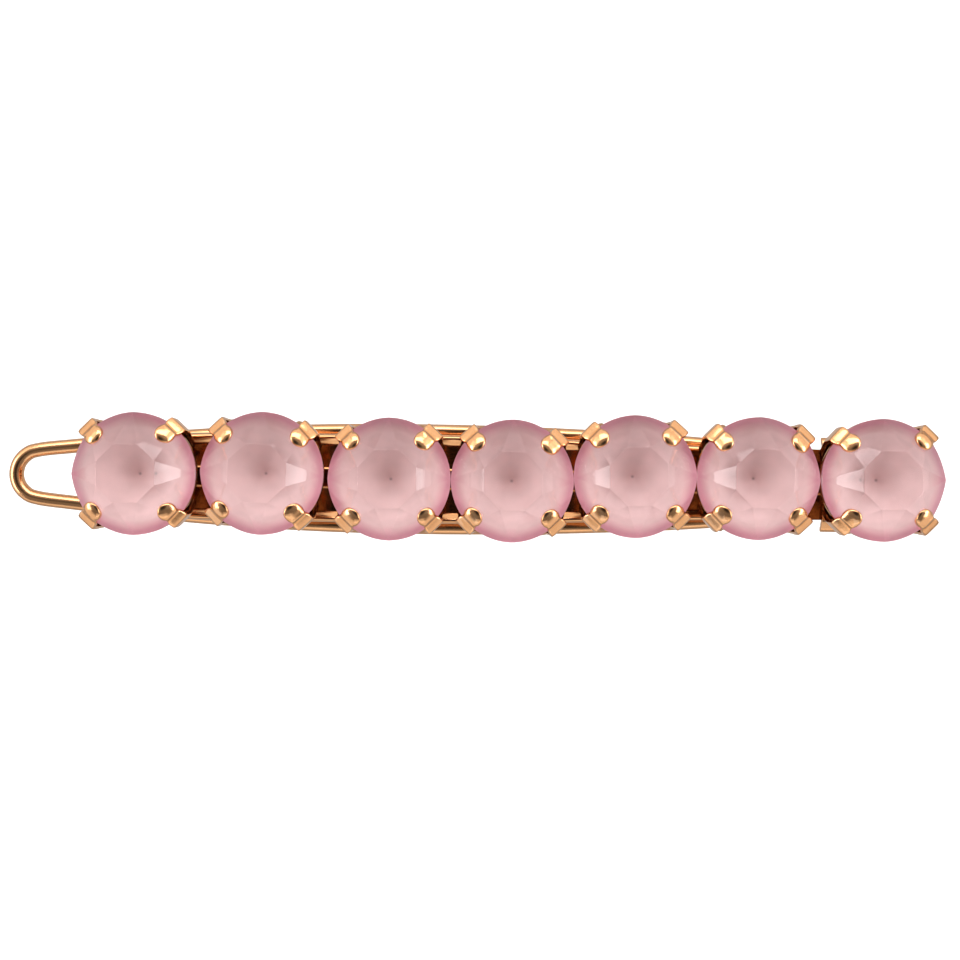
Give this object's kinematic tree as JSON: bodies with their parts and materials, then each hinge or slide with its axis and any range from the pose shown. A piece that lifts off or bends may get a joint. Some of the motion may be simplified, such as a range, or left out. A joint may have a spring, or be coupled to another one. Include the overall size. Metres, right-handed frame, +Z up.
{
  "type": "hair clip",
  "caption": "Slim rose-gold hair clip with a row of round faceted pink stones in four-prong cups on a bar, and a wire bail that opens underneath.",
  "frame": {"origin": "middle of the clip's footprint, on the surface it lies on", "axes": "+X along the row of stones towards the hinge, +Z up through the stones' tables"},
  "size_m": [0.0642, 0.0086, 0.0083],
  "materials": {
    "bar_metal": "rose-gold plating, lightly brushed along the bar",
    "bracket_metal": "rose-gold plating, satin",
    "wire_metal": "rose-gold plating, polished drawn wire",
    "setting_metal": "rose-gold plating, polished with burnished tips",
    "solder_metal": "rose-gold plated solder, satin",
    "stone_glass": "frosted faceted glass over a matte pastel-pink coating"
  },
  "bodies": {
    "clip": {"base_bar": "bar_metal", "hinge_bracket": "bracket_metal", "setting_1": "setting_metal", "setting_2": "setting_metal", "setting_3": "setting_metal", "setting_4": "setting_metal", "setting_5": "setting_metal", "setting_6": "setting_metal", "setting_7": "setting_metal", "stone_1": "stone_glass", "stone_2": "stone_glass", "stone_3": "stone_glass", "stone_4": "stone_glass", "stone_5": "stone_glass", "stone_6": "stone_glass", "stone_7": "stone_glass", "solder_1": "solder_metal", "solder_2": "solder_metal", "solder_3": "solder_metal", "solder_4": "solder_metal", "solder_5": "solder_metal", "solder_6": "solder_metal", "solder_7": "solder_metal"},
    "bail": {"wire_bail": "wire_metal"}
  },
  "joints": [
    {"name": "bail_hinge", "type": "hinge", "parent": "clip", "child": "bail", "pos_m": [0.02711, -0.00016, 0.0011], "axis": [0, -1, 0], "range_deg": [0, 110]}
  ]
}
